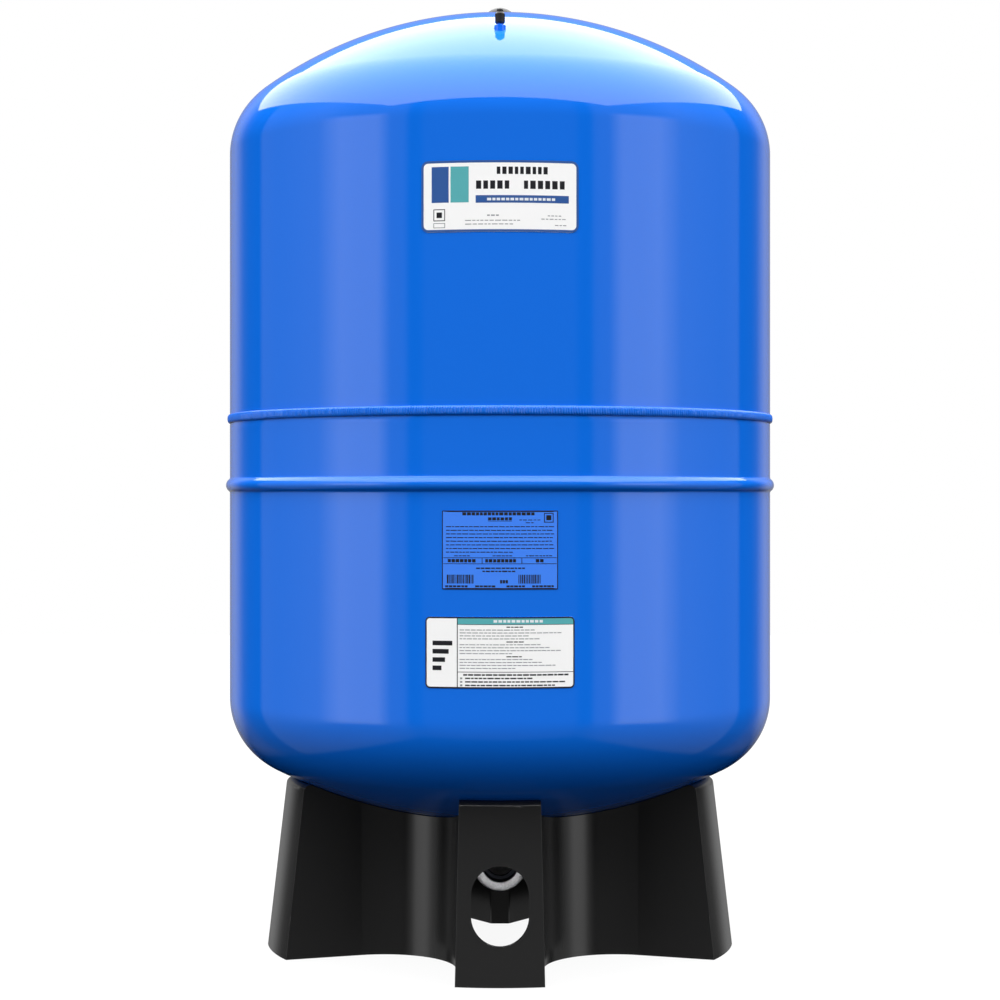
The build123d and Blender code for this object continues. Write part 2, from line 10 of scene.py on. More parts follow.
import bpy
import numpy as np
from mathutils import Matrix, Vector


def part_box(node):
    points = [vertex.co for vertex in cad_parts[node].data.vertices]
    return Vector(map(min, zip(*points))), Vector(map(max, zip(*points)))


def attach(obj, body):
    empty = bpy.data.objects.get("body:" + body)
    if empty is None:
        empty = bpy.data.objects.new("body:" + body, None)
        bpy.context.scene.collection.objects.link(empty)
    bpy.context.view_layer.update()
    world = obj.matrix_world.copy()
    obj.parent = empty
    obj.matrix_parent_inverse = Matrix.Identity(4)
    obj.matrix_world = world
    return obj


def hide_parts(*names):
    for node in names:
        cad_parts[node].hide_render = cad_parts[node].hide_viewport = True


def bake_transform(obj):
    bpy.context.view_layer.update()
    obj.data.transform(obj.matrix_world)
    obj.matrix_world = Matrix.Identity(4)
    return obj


MM = 0.001

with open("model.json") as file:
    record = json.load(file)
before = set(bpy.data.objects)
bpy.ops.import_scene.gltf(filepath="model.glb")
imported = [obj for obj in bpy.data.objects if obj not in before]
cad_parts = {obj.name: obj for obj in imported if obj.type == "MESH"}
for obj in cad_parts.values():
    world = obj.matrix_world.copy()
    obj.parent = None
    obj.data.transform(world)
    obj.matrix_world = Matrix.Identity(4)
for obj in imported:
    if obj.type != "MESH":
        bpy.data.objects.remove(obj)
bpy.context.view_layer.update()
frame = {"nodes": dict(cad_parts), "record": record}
record = frame["record"]
nodes = frame["nodes"]

# Camera, fitted to the photograph
CAMERA_Y = -2754.9
CAMERA_Z = 543.5
FOCAL_PIXELS = 2236.9
HORIZON_ABOVE_CENTRE = 3.86
FRAME_PIXELS = 1000
SENSOR_WIDTH = 36.0

# Steel vessel
TANK_RADIUS = 330.2
SHELL_WALL = 2.3
LOWER_TANGENT_Z = 299.5
LOWER_KNUCKLE = 93.0
LOWER_CROWN = 617.0
UPPER_TANGENT_Z = 957.7
UPPER_KNUCKLE = 91.0
UPPER_CROWN = 489.0
PORT_HOLE_RADIUS = 25.2
LAP_INSET = 2.45
LAP_START_Z = 630.0
LAP_TOP_Z = 655.0
RIB_Z = 556.7
RIB_PROUD = 4.7
RIB_RADIUS = 9.0
RIB_FILLET = 3.0
AROUND = 512

# Girth weld: the bead's section, its ripples, and slow swells, as waves in a turn and their start
WELD_Z = 637.0
WELD_HEIGHT = 10.4
WELD_PROUD = 3.2
WELD_EDGE_PROUD = 0.05
WELD_SQUARENESS = 2.4
WELD_ROWS = 16
WELD_AROUND = 5200
WELD_RIPPLES = 700
RIPPLE_DEPTH = 1.1
RIPPLE_BOW = 0.9
SWELL_DEPTH = 0.2
SWELL_WAVES = ((23, 1.3), (61, 0.4))
WELD_SINK = 0.05

# Water outlet
OUTLET_Z = 97.34
OUTLET_THREAD_RADIUS = 21.1
OUTLET_THREAD_PITCH = 2.2
OUTLET_THREAD_END_Y = -20.0
OUTLET_THREAD_MARGIN = 0.25

# Air valve: its axis, and the round hole for its bushing, as they are in plan. In the dome's grid,
# the hole is HOLE_CELLS cells from its middle to each side, and its push fades out at HOLE_REACH.
VALVE_AXIS_RADIUS = 230.5
VALVE_HOLE_RADIUS = 6.85
HOLE_CELLS = 2
HOLE_REACH = 7
SPRING_COIL_RADIUS = 0.85
SPRING_WIRE_RADIUS = 0.13
SPRING_TURNS = 5
SPRING_STEPS = 32
SPRING_SIDES = 12

# Print on the labels lies this far out from the tank's wall, and print on print that much further.
# A field of it is cut about every FIELD_STEP, so that it follows the wall.
INK_FACE = 0.48
OVERPRINT = 0.04
FIELD_STEP = 5

LOWER_RUN = TANK_RADIUS - LOWER_KNUCKLE
LOWER_DROP = sqrt((LOWER_CROWN - LOWER_KNUCKLE) ** 2 - LOWER_RUN**2)
LOWER_CENTRE_Z = LOWER_TANGENT_Z + LOWER_DROP
LOWER_JOINT = atan2(LOWER_DROP, LOWER_RUN)
UPPER_RUN = TANK_RADIUS - UPPER_KNUCKLE
UPPER_DROP = sqrt((UPPER_CROWN - UPPER_KNUCKLE) ** 2 - UPPER_RUN**2)
UPPER_CENTRE_Z = UPPER_TANGENT_Z - UPPER_DROP
UPPER_JOINT = atan2(UPPER_DROP, UPPER_RUN)


def make_object(name, points, faces, body="tank", replaces=(), slot=None, smooth_angle=35.0):
    """Writes points in millimetres, and faces, to a smooth object that rides the body, if any."""
    mesh = bpy.data.meshes.new(name)
    mesh.from_pydata((np.asarray(points) * MM).tolist(), [], [list(face) for face in faces])
    mesh.update()
    mesh.shade_smooth()
    mesh.set_sharp_from_angle(angle=radians(smooth_angle))
    obj = bpy.data.objects.new(name, mesh)
    bpy.context.scene.collection.objects.link(obj)
    if body:
        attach(obj, body)
    if replaces:
        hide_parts(*replaces)
    return obj


def grid_faces(rows, columns, closed_rows=False, closed_columns=False):
    """Quads over a grid of points stored row by row; rows run up and columns run to the right."""
    row = np.arange(rows if closed_rows else rows - 1)[:, None]
    column = np.arange(columns if closed_columns else columns - 1)[None, :]
    above = (row + 1) % rows
    right = (column + 1) % columns
    corners = ((row, column), (row, right), (above, right), (above, column))
    return np.stack([r * columns + c for r, c in corners], axis=-1).reshape(-1, 4)


def close_poles(points, quads, poles, columns):
    """Merges each pole row of a grid into its first point, and makes the quads there triangles."""
    index = np.arange(len(points)).reshape(-1, columns)
    index[poles] = index[poles, :1]
    quads = index.ravel()[quads]
    flat_low = quads[:, 0] == quads[:, 1]
    flat_high = quads[:, 2] == quads[:, 3]
    faces = quads[~flat_low & ~flat_high].tolist()
    faces += quads[flat_low & ~flat_high][:, [0, 2, 3]].tolist()
    faces += quads[flat_high & ~flat_low][:, [0, 1, 2]].tolist()
    used = np.zeros(len(points), dtype=bool)
    used[quads.ravel()] = True
    place = np.cumsum(used) - 1
    return points[used], [[place[i] for i in face] for face in faces]


def arc(centre_r, centre_z, radius, start, end, count):
    """Points (r, z) on an arc, from one angle to another."""
    angles = np.linspace(start, end, count)
    r = centre_r + radius * np.cos(angles)
    z = centre_z + radius * np.sin(angles)
    return np.stack([r, z], axis=-1)


def line(start, end, count):
    """Points (r, z) on a straight run."""
    return np.linspace(start, end, count)


def join_runs(*runs):
    """Runs of (r, z) points end to end, without doubled points."""
    points = np.concatenate(runs)
    step = np.linalg.norm(np.diff(points, axis=0), axis=1)
    return points[np.concatenate([[True], step > 1e-4])]


def revolved_grid(profile, count, wave=None, closed=False):
    """The profile (r, z) swept round the axis as a grid of points (row, column), and its quads.

    The profile runs so that the outside lies on its right, and a closed one joins its last point to
    its first. wave(u, v) adds to the radius, where u is the angle and v the share of the way along.
    """
    angles = np.arange(count) * 2 * pi / count
    share = np.linspace(0, 1, len(profile))[:, None]
    radii = profile[:, :1] + (0 * angles if wave is None else wave(angles[None, :], share))
    heights = profile[:, 1:] + 0 * angles
    grid = np.stack([radii * np.sin(angles), -radii * np.cos(angles), heights], axis=-1)
    return grid, grid_faces(len(profile), count, closed_rows=closed, closed_columns=True)


def revolve(profile, count=AROUND, wave=None, closed=False):
    """The points and faces of the profile swept round the axis, where it doesn't reach the axis."""
    grid, quads = revolved_grid(profile, count, wave, closed)
    return grid.reshape(-1, 3), quads.tolist()


def rib_run(inset):
    """The rib's (r, z) points: a round between two tangent fillets, bottom to top."""
    centre_offset = RIB_RADIUS + RIB_FILLET - RIB_PROUD
    rise = sqrt((RIB_RADIUS + RIB_FILLET) ** 2 - centre_offset**2)
    sweep = atan2(rise, centre_offset)
    fillet_r = TANK_RADIUS + RIB_FILLET
    lower = arc(fillet_r, RIB_Z - rise, RIB_FILLET + inset, pi, pi - sweep, 10)
    middle = arc(fillet_r - centre_offset, RIB_Z, RIB_RADIUS - inset, -sweep, sweep, 24)
    upper = arc(fillet_r, RIB_Z + rise, RIB_FILLET + inset, pi + sweep, pi, 10)
    return join_runs(lower, middle, upper), rise


def lower_run(inset):
    """The lower shell's (r, z) points at an inset, from the port's hole up to the lap."""
    crown = LOWER_CROWN - inset
    start = asin(PORT_HOLE_RADIUS / crown)
    rib, rise = rib_run(inset)
    wall = TANK_RADIUS - inset
    return join_runs(
        arc(0, LOWER_CENTRE_Z, crown, start - pi / 2, -LOWER_JOINT, 60),
        arc(LOWER_RUN, LOWER_TANGENT_Z, LOWER_KNUCKLE - inset, -LOWER_JOINT, 0, 56),
        line((wall, LOWER_TANGENT_Z), (wall, RIB_Z - rise), 30),
        rib,
        line((wall, RIB_Z + rise), (wall, LAP_START_Z), 10),
        line((wall, LAP_START_Z), (wall - LAP_INSET, WELD_Z), 3),
        line((wall - LAP_INSET, WELD_Z), (wall - LAP_INSET, LAP_TOP_Z), 3),
    )


def upper_run(inset):
    """The upper shell's (r, z) points at an inset, from its lower edge to the top of the dome."""
    wall = TANK_RADIUS - inset
    return join_runs(
        line((wall, WELD_Z), (wall, UPPER_TANGENT_Z), 40),
        arc(UPPER_RUN, UPPER_TANGENT_Z, UPPER_KNUCKLE - inset, 0, UPPER_JOINT, 56),
        arc(0, UPPER_CENTRE_Z, UPPER_CROWN - inset, UPPER_JOINT, pi / 2, 80),
    )


def open_for_valve(grid, row, crown):
    """Pushes one sheet of the dome, a grid of points (row, column), clear of the valve's hole.

    Round the grid point (row, 0) each point moves in plan along its line from the valve's axis, and
    keeps on the crown: z = centre + sqrt(crown^2 - x^2 - y^2). Points on the square HOLE_CELLS out
    land on the hole's circle, and the push fades to nothing HOLE_REACH cells out.
    """
    rows, columns = grid.shape[:2]
    up = np.arange(rows)[:, None] - row
    right = (np.arange(columns)[None, :] + columns // 2) % columns - columns // 2
    cells = np.maximum(np.abs(up), np.abs(right))
    axis = np.array([0, -VALVE_AXIS_RADIUS])
    offset = grid[..., :2] - axis
    distance = np.linalg.norm(offset, axis=-1)
    square = distance * HOLE_CELLS / cells.clip(1)
    fade = ((HOLE_REACH - cells) / (HOLE_REACH - HOLE_CELLS)).clip(0, 1)
    push = (VALVE_HOLE_RADIUS - square) * fade / distance.clip(1e-6)
    near = (cells >= HOLE_CELLS) & (cells < HOLE_REACH)
    plan = axis + offset * (1 + push[..., None])
    height = UPPER_CENTRE_Z + np.sqrt((crown**2 - (plan**2).sum(-1)).clip(0))
    grid[near] = np.concatenate([plan, height[..., None]], axis=-1)[near]


def dome_shape():
    """The dome's points and faces: the upper shell's wall revolved, with the hole for the valve."""
    outside, inside = upper_run(0), upper_run(SHELL_WALL)[::-1]
    profile = join_runs(outside, inside)
    columns, last = AROUND, len(profile) - 1
    grid, quads = revolved_grid(profile, columns, closed=True)
    near_top = np.arange(len(outside)) > len(outside) // 2
    row = int(np.argmin(np.where(near_top, np.abs(outside[:, 0] - VALVE_AXIS_RADIUS), np.inf)))
    open_for_valve(grid, row, UPPER_CROWN)
    open_for_valve(grid, last - row, UPPER_CROWN - SHELL_WALL)

    side = np.arange(-HOLE_CELLS, HOLE_CELLS)
    cell_rows = np.concatenate([row + side, last - row + side])
    cell_index = (cell_rows[:, None] * columns + side[None, :] % columns).ravel()
    quads = np.delete(quads, cell_index, axis=0)
    edge = np.full(2 * HOLE_CELLS, HOLE_CELLS)
    up = np.concatenate([-edge, side, edge, -side])
    right = np.concatenate([side, edge, -side, -edge])
    upper = (row + up) * columns + right % columns
    lower = (last - row - up) * columns + right % columns
    wall = np.stack([upper, np.roll(upper, -1), np.roll(lower, -1), lower], axis=-1)
    quads = np.concatenate([quads, wall])
    return close_poles(grid.reshape(-1, 3), quads, profile[:, 0] < 1e-6, columns)


def spring_shape(low_z, high_z):
    """The valve spring's points and faces, between the lowest and the highest point of its wire.

    A round wire is swept along the helix (R cos t, R sin t, slope t), and a flat face closes each
    end of it. out and across are the directions square to the wire, away from the coil's axis and
    along it.
    """
    start = low_z + SPRING_WIRE_RADIUS
    slope = (high_z - SPRING_WIRE_RADIUS - start) / (2 * pi * SPRING_TURNS)
    turn = np.linspace(0, 2 * pi * SPRING_TURNS, SPRING_STEPS * SPRING_TURNS + 1)
    sine, cosine, level = np.sin(turn), np.cos(turn), 0 * turn
    out = np.stack([cosine, sine, level], axis=-1)
    along = np.stack([-sine, cosine, level + slope / SPRING_COIL_RADIUS], axis=-1)
    along /= np.linalg.norm(along, axis=-1, keepdims=True)
    across = np.cross(along, out)
    middle = SPRING_COIL_RADIUS * out + (0, -VALVE_AXIS_RADIUS, start)
    middle[:, 2] += slope * turn

    around = (np.arange(SPRING_SIDES) * 2 * pi / SPRING_SIDES)[None, :, None]
    section = np.cos(around) * out[:, None] + np.sin(around) * across[:, None]
    points = (middle[:, None] + SPRING_WIRE_RADIUS * section).reshape(-1, 3)
    faces = grid_faces(len(turn), SPRING_SIDES, closed_columns=True).tolist()
    foot = list(range(SPRING_SIDES))[::-1]
    head = list(range(len(points) - SPRING_SIDES, len(points)))
    return points, faces + [foot, head]


ripple_depths = np.random.default_rng(7).uniform(0.35, 1.0, WELD_RIPPLES)


def weld_wave(angle, share):
    """How far the bead's face lies back, for a bead laid in short overlapping puddles.

    From t = 0 to 1 over a puddle the face lies back by 1 - sin(pi t) times a depth of the puddle's
    own, so most at its seams. The seams are bowed by the square of the height from the middle, two
    slow swells are added, and all of it fades to nothing at the bead's edges.
    """
    share = (share * WELD_ROWS / (WELD_ROWS - 1)).clip(0, 1)
    bow = RIPPLE_BOW * (2 * share - 1) ** 2
    place = (angle / (2 * pi) * WELD_RIPPLES - bow) % WELD_RIPPLES
    depth = ripple_depths[place.astype(int) % WELD_RIPPLES]
    seam = 1 - np.sin(pi * (place % 1))
    short, long = (np.sin(waves * angle + start) for waves, start in SWELL_WAVES)
    swell = 0.5 + 0.5 * short * long
    body = np.sin(pi * share) ** 0.6
    return -body * (WELD_SINK + RIPPLE_DEPTH * depth * seam + SWELL_DEPTH * swell)


def weld_run():
    """The bead's (r, z) points, bottom to top: a flat face with quick rounds, on a superellipse. The
    shares of its height and depth, each to the power WELD_SQUARENESS, add up to 1."""
    turn = np.linspace(-pi / 2, pi / 2, WELD_ROWS)
    power = 2 / WELD_SQUARENESS
    rise = np.sign(turn) * np.abs(np.sin(turn)) ** power * WELD_HEIGHT / 2
    proud = np.cos(turn).clip(0) ** power * (WELD_PROUD - WELD_EDGE_PROUD)
    return np.stack([TANK_RADIUS + WELD_EDGE_PROUD + proud, WELD_Z + rise], axis=-1)


# Materials


def node_material(name):
    """A new node material and its tools: the tree, its shader and a function that adds a node."""
    material = bpy.data.materials.new(name)
    material.use_nodes = True
    tree = material.node_tree
    shader = tree.nodes["Principled BSDF"]

    def add(kind, **values):
        node = tree.nodes.new(kind)
        for key, value in values.items():
            if key in node.inputs:
                node.inputs[key].default_value = value
            else:
                setattr(node, key.lower().replace(" ", "_"), value)
        return node

    return material, tree, shader, add


def set_shader(shader, color, roughness, **values):
    """Sets a shader's own sockets."""
    shader.inputs["Base Color"].default_value = (*color, 1)
    shader.inputs["Roughness"].default_value = roughness
    for key, value in values.items():
        shader.inputs[key.replace("_", " ")].default_value = value


def bump_from(tree, add, shader, height, strength, distance):
    """Feeds a height into the shader's normal through a bump."""
    bump = add("ShaderNodeBump", Strength=strength, Distance=distance)
    tree.links.new(height, bump.inputs["Height"])
    tree.links.new(bump.outputs["Normal"], shader.inputs["Normal"])


def enamel_material():
    """Gloss enamel over steel: a faint orange peel, no visible grain."""
    material, tree, shader, add = node_material("blue_enamel_look")
    set_shader(shader, (0.0038, 0.151, 0.755), 0.05, IOR=1.5)
    coords = add("ShaderNodeTexCoord")
    peel = add("ShaderNodeTexNoise", Scale=95.0, Detail=1.0)
    tree.links.new(coords.outputs["Object"], peel.inputs["Vector"])
    bump_from(tree, add, shader, peel.outputs["Fac"], 0.03, 0.0004)
    return material


def moulded_material(name, color, roughness, grain):
    """Moulded plastic with a fine grain and a slow change of sheen."""
    material, tree, shader, add = node_material(name)
    set_shader(shader, color, roughness, IOR=1.46)
    coords = add("ShaderNodeTexCoord")
    fine = add("ShaderNodeTexNoise", Scale=grain, Detail=3.0)
    slow = add("ShaderNodeTexNoise", Scale=6.0, Detail=2.0)
    sheen = add("ShaderNodeMapRange")
    sheen.inputs["To Min"].default_value = roughness - 0.03
    sheen.inputs["To Max"].default_value = roughness + 0.04
    tree.links.new(coords.outputs["Object"], fine.inputs["Vector"])
    tree.links.new(coords.outputs["Object"], slow.inputs["Vector"])
    tree.links.new(slow.outputs["Fac"], sheen.inputs["Value"])
    tree.links.new(sheen.outputs["Result"], shader.inputs["Roughness"])
    bump_from(tree, add, shader, fine.outputs["Fac"], 0.12, 0.0004)
    return material


def metal_material(name, color, roughness):
    """Bare metal with a fine grain."""
    material, tree, shader, add = node_material(name)
    set_shader(shader, color, roughness, Metallic=1.0)
    coords = add("ShaderNodeTexCoord")
    grain = add("ShaderNodeTexNoise", Scale=900.0, Detail=2.0)
    tree.links.new(coords.outputs["Object"], grain.inputs["Vector"])
    bump_from(tree, add, shader, grain.outputs["Fac"], 0.1, 0.0002)
    return material


def elbow_material():
    """Machined stainless steel, clouded. Inside the outlet it is threaded, and its colour there is
    painted near black as shade.
    """
    material, tree, shader, add = node_material("stainless_look")
    set_shader(shader, (0.62, 0.62, 0.64), 0.36, Metallic=1.0)
    link = tree.links.new
    coords = add("ShaderNodeTexCoord")
    grain = add("ShaderNodeTexNoise", Scale=1400.0, Detail=3.0)
    blotch = add("ShaderNodeTexNoise", Scale=420.0, Detail=2.0)
    across = add("ShaderNodeVectorMath", operation="SUBTRACT")
    across.inputs[1].default_value = (0, 0, OUTLET_Z * MM)
    flat = add("ShaderNodeVectorMath", operation="MULTIPLY")
    flat.inputs[1].default_value = (1, 0, 1)
    radius = add("ShaderNodeVectorMath", operation="LENGTH")
    bore = add("ShaderNodeMath", operation="LESS_THAN")
    bore.inputs[1].default_value = (OUTLET_THREAD_RADIUS + OUTLET_THREAD_MARGIN) * MM
    place = add("ShaderNodeSeparateXYZ")
    front = add("ShaderNodeMath", operation="LESS_THAN")
    front.inputs[1].default_value = OUTLET_THREAD_END_Y * MM
    inside = add("ShaderNodeMath", operation="MULTIPLY")
    # Painted shade: inside the threaded bore the base colour turns near black, so the deep socket
    # reads as shaded. The same mask also cuts the thread bump.
    tone = add("ShaderNodeMix", data_type="RGBA")
    tone.inputs["B"].default_value = (0.012, 0.013, 0.016, 1)
    cloud = add("ShaderNodeMix", data_type="RGBA")
    cloud.inputs["A"].default_value = (0.36, 0.36, 0.37, 1)
    cloud.inputs["B"].default_value = (0.78, 0.78, 0.80, 1)
    mottle = add("ShaderNodeMapRange")
    mottle.inputs["To Min"].default_value = 0.24
    mottle.inputs["To Max"].default_value = 0.5
    thread = add("ShaderNodeMath", operation="SINE")
    pitch = add("ShaderNodeMath", operation="MULTIPLY")
    pitch.inputs[1].default_value = 2 * pi / (OUTLET_THREAD_PITCH * MM)
    cut = add("ShaderNodeMath", operation="MULTIPLY")
    height = add("ShaderNodeMath", operation="ADD")
    for texture in (grain, blotch):
        link(coords.outputs["Object"], texture.inputs["Vector"])
    link(coords.outputs["Object"], across.inputs[0])
    link(across.outputs[0], flat.inputs[0])
    link(flat.outputs[0], radius.inputs[0])
    link(radius.outputs["Value"], bore.inputs[0])
    link(coords.outputs["Object"], place.inputs[0])
    link(place.outputs["Y"], front.inputs[0])
    link(bore.outputs[0], inside.inputs[0])
    link(front.outputs[0], inside.inputs[1])
    link(blotch.outputs["Fac"], cloud.inputs["Factor"])
    link(cloud.outputs["Result"], tone.inputs["A"])
    link(inside.outputs[0], tone.inputs["Factor"])
    link(tone.outputs["Result"], shader.inputs["Base Color"])
    link(blotch.outputs["Fac"], mottle.inputs["Value"])
    link(mottle.outputs["Result"], shader.inputs["Roughness"])
    link(place.outputs["Y"], pitch.inputs[0])
    link(pitch.outputs[0], thread.inputs[0])
    link(thread.outputs[0], cut.inputs[0])
    link(inside.outputs[0], cut.inputs[1])
    link(cut.outputs[0], height.inputs[0])
    link(grain.outputs["Fac"], height.inputs[1])
    bump_from(tree, add, shader, height.outputs[0], 0.5, 0.0006)
    return material


def plain_material(name, color, roughness, grain=400.0, strength=0.04):
    """A printed or rubbery surface with a slight tooth."""
    material, tree, shader, add = node_material(name)
    set_shader(shader, color, roughness, IOR=1.45)
    coords = add("ShaderNodeTexCoord")
    tooth = add("ShaderNodeTexNoise", Scale=grain, Detail=2.0)
    tree.links.new(coords.outputs["Object"], tooth.inputs["Vector"])
    bump_from(tree, add, shader, tooth.outputs["Fac"], strength, 0.0002)
    return material


def dress(obj, material):
    """Gives an object one material in all of its slots."""
    if not obj.data.materials:
        obj.data.materials.append(material)
    for index in range(len(obj.data.materials)):
        obj.data.materials[index] = material


enamel = enamel_material()
stand_plastic = moulded_material("stand_plastic_look", (0.0165, 0.0165, 0.0166), 0.19, 900.0)
cap_plastic = moulded_material("cap_plastic_look", (0.010, 0.010, 0.011), 0.4, 1500.0)
stainless = elbow_material()
plain_steel = metal_material("plain_steel_look", (0.45, 0.45, 0.46), 0.4)
brass = metal_material("valve_brass_look", (0.72, 0.55, 0.26), 0.3)
rubber = plain_material("black_rubber_look", (0.012, 0.012, 0.012), 0.75, 700.0, 0.15)
liner_plastic = plain_material("liner_plastic_look", (0.85, 0.85, 0.82), 0.35)
white_vinyl = plain_material("white_vinyl_look", (0.97, 0.97, 0.97), 0.3)
blue_vinyl = plain_material("blue_vinyl_look", (0.055, 0.235, 0.93), 0.25)
ink_dark = plain_material("ink_dark_look", (0.012, 0.012, 0.016), 0.3)
ink_grey = plain_material("ink_grey_look", (0.24, 0.25, 0.27), 0.3)
ink_slate = plain_material("ink_slate_look", (0.03, 0.10, 0.33), 0.3)
ink_teal = plain_material("ink_teal_look", (0.10, 0.42, 0.45), 0.3)
ink_pale = plain_material("ink_pale_look", (0.80, 0.83, 0.86), 0.3)

LOOKS = {
    "blue_enamel": enamel,
    "stainless_steel": stainless,
    "plain_steel": plain_steel,
    "black_rubber": rubber,
    "liner_plastic": liner_plastic,
    "valve_brass": brass,
    "stand_plastic": stand_plastic,
    "cap_plastic": cap_plastic,
    "white_vinyl": white_vinyl,
    "blue_vinyl": blue_vinyl,
}
for subpart in record["subparts"]:
    dress(nodes[subpart["node"]], LOOKS[subpart["material_slot"]])

# Vessel
dome = make_object("dome_surface", *dome_shape(), replaces=("upper_shell",), slot="blue_enamel")
dress(dome, enamel)
bowl = make_object(
    "bowl_surface",
    *revolve(join_runs(lower_run(0), lower_run(SHELL_WALL)[::-1]), closed=True),
    replaces=("lower_shell",),
    slot="blue_enamel",
)
dress(bowl, enamel)
bead = make_object(
    "weld_bead_surface",
    *revolve(weld_run(), count=WELD_AROUND, wave=weld_wave, closed=True),
    replaces=("girth_weld",),
    slot="blue_enamel",
)
dress(bead, enamel)

# The valve's spring, held by the valve's core at its foot and pushed by the pin at its top
spring_low, spring_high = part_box("core_spring")
spring = make_object(
    "spring_wire",
    *spring_shape(spring_low[2] / MM, spring_high[2] / MM),
    body=None,
    replaces=("core_spring",),
    slot="plain_steel",
)
dress(spring, plain_steel)
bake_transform(spring)

# Print on the labels, all of it plain fields, rules and dashes


def wrapped(points, lifts):
    """Points (s, z) bent round the tank: s runs along its curve from the middle of the front, and
    the lift adds to the radius."""
    s, z = points.T
    radius = TANK_RADIUS + INK_FACE + lifts
    angle = s / (TANK_RADIUS + INK_FACE)
    return np.stack([radius * np.sin(angle), -radius * np.cos(angle), z], axis=-1)


class Print:
    """Collects flat patches of one label, in millimetres from its middle and down from its top."""

    def __init__(self, top_z, seed):
        self.top_z = top_z
        self.points = []
        self.lifts = []
        self.faces = []
        self.inks = []
        self.count = 0
        self.random = np.random.default_rng(seed)

    def strip(self, low, high, ink):
        """A band between two runs of points (s, depth) with the same count, low one first."""
        columns = len(low)
        grid = np.concatenate([low, high])
        self.points.append(grid * (1, -1) + (0, self.top_z))
        self.lifts += [OVERPRINT if ink == "pale" else 0.0] * len(grid)
        self.faces.append(grid_faces(2, columns) + self.count)
        self.inks += [ink] * (columns - 1)
        self.count += 2 * columns

    def field(self, left, right, top, bottom, ink):
        """A rectangle that follows the wall."""
        count = int((right - left) / FIELD_STEP) + 2
        low, high = (np.linspace((left, depth), (right, depth), count) for depth in (bottom, top))
        self.strip(low, high, ink)

    def dashes(self, left, right, top, height, ink, longest=11.0, shortest=2.5, gap=1.3):
        """A broken rule: dashes of many lengths with small gaps."""
        while left + shortest <= right:
            length = self.random.uniform(shortest, longest)
            self.field(left, min(left + length, right), top, top + height, ink)
            left += length + gap

    def box(self, left, right, top, bottom, width, ink):
        """An empty rectangle drawn with four lines of one width."""
        self.field(left, right, top, top + width, ink)
        self.field(left, right, bottom - width, bottom, ink)
        self.field(left, left + width, top + width, bottom - width, ink)
        self.field(right - width, right, top + width, bottom - width, ink)

    def outline(self, half_width, height, gap, corner):
        """A rounded rectangle, gap inside the label's edge, clockwise from its top right corner."""
        turn = np.radians(np.linspace(-90, 0, 7))
        radius = max(corner - gap, 0.05)
        reach = half_width - corner
        runs = []
        for quarter, (side, depth) in enumerate(
            ((1, corner), (1, height - corner), (-1, height - corner), (-1, corner))
        ):
            angle = turn + quarter * pi / 2
            across = side * reach + radius * np.cos(angle)
            runs.append(np.stack([across, depth + radius * np.sin(angle)], axis=-1))
            if quarter in (1, 3):
                end = height - gap if quarter == 1 else gap
                runs.append(np.linspace((side * reach, end), (-side * reach, end), 24)[1:-1])
        return np.concatenate(runs + [runs[0][:1]])

    def frame(self, size, inset, corner, width, ink):
        """A line round the label, inset from its edge. The size is half its width, and its height."""
        inner = self.outline(*size, inset + width, corner)
        self.strip(inner, self.outline(*size, inset, corner), ink)

    def finish(self, name, looks, slot):
        """Writes the patches to one object with a material for each ink."""
        obj = make_object(
            name,
            wrapped(np.concatenate(self.points), np.array(self.lifts)),
            np.concatenate(self.faces).tolist(),
            slot=slot,
        )
        inks = sorted(set(self.inks))
        for ink in inks:
            obj.data.materials.append(looks[ink])
        obj.data.polygons.foreach_set("material_index", [inks.index(ink) for ink in self.inks])
        return obj


INKS = {"dark": ink_dark, "grey": ink_grey, "slate": ink_slate, "teal": ink_teal, "pale": ink_pale}
# Each label: half its width and its height, its top, and the room between the two lower ones
UPPER_LABEL = (84.0, 72.3)
UPPER_LABEL_TOP = UPPER_TANGENT_Z - 52.5
DATA_LABEL = (63.4, 85.6)
DATA_LABEL_TOP = RIB_Z - 28.8
LOWER_LABEL = (82.1, 77.6)
LABEL_GAP = 29.9
LOWER_LABEL_TOP = DATA_LABEL_TOP - DATA_LABEL[1] - LABEL_GAP
BORDER_FILM = 2.6


def upper_label_print():
    """The upper label: two blocks of colour, a broken heading, a band and two small boxes."""
    label = Print(UPPER_LABEL_TOP, 11)
    label.frame(UPPER_LABEL, -BORDER_FILM, 5.0, BORDER_FILM, "slate")
    label.field(-75, -56, 4, 43, "slate")
    label.field(-54, -34, 4, 43, "teal")
    label.dashes(-3.5, 52, 4.5, 8.0, "dark", 5.4, 3.6, 2.2)
    label.dashes(-26, 14.5, 19.5, 9.0, "dark", 6.4, 4.2, 2.4)
    label.dashes(26, 75.5, 19.5, 9.0, "dark", 6.4, 4.2, 2.4)
    label.field(-26.5, 75.5, 35.4, 43.6, "slate")
    label.dashes(-14, 63, 38.3, 2.8, "pale", 4.5, 3.0)
    label.dashes(-14, 0, 56.5, 1.3, "grey", 5)
    label.dashes(-38, 22, 62.2, 0.9, "grey", 7)
    label.dashes(-38, 17, 66.2, 0.9, "grey", 7)
    label.dashes(52, 67, 57.0, 0.9, "grey", 5)
    label.dashes(45, 75, 60.6, 0.9, "grey", 5)
    label.dashes(60, 76, 67.2, 0.9, "grey", 4)
    label.box(-73, -60, 50, 63, 0.9, "dark")
    label.field(-69.5, -63.5, 53.5, 59.5, "dark")
    label.box(-73, -60, 65, 70.5, 0.7, "grey")
    label.finish("upper_label_print", INKS, "white_vinyl")


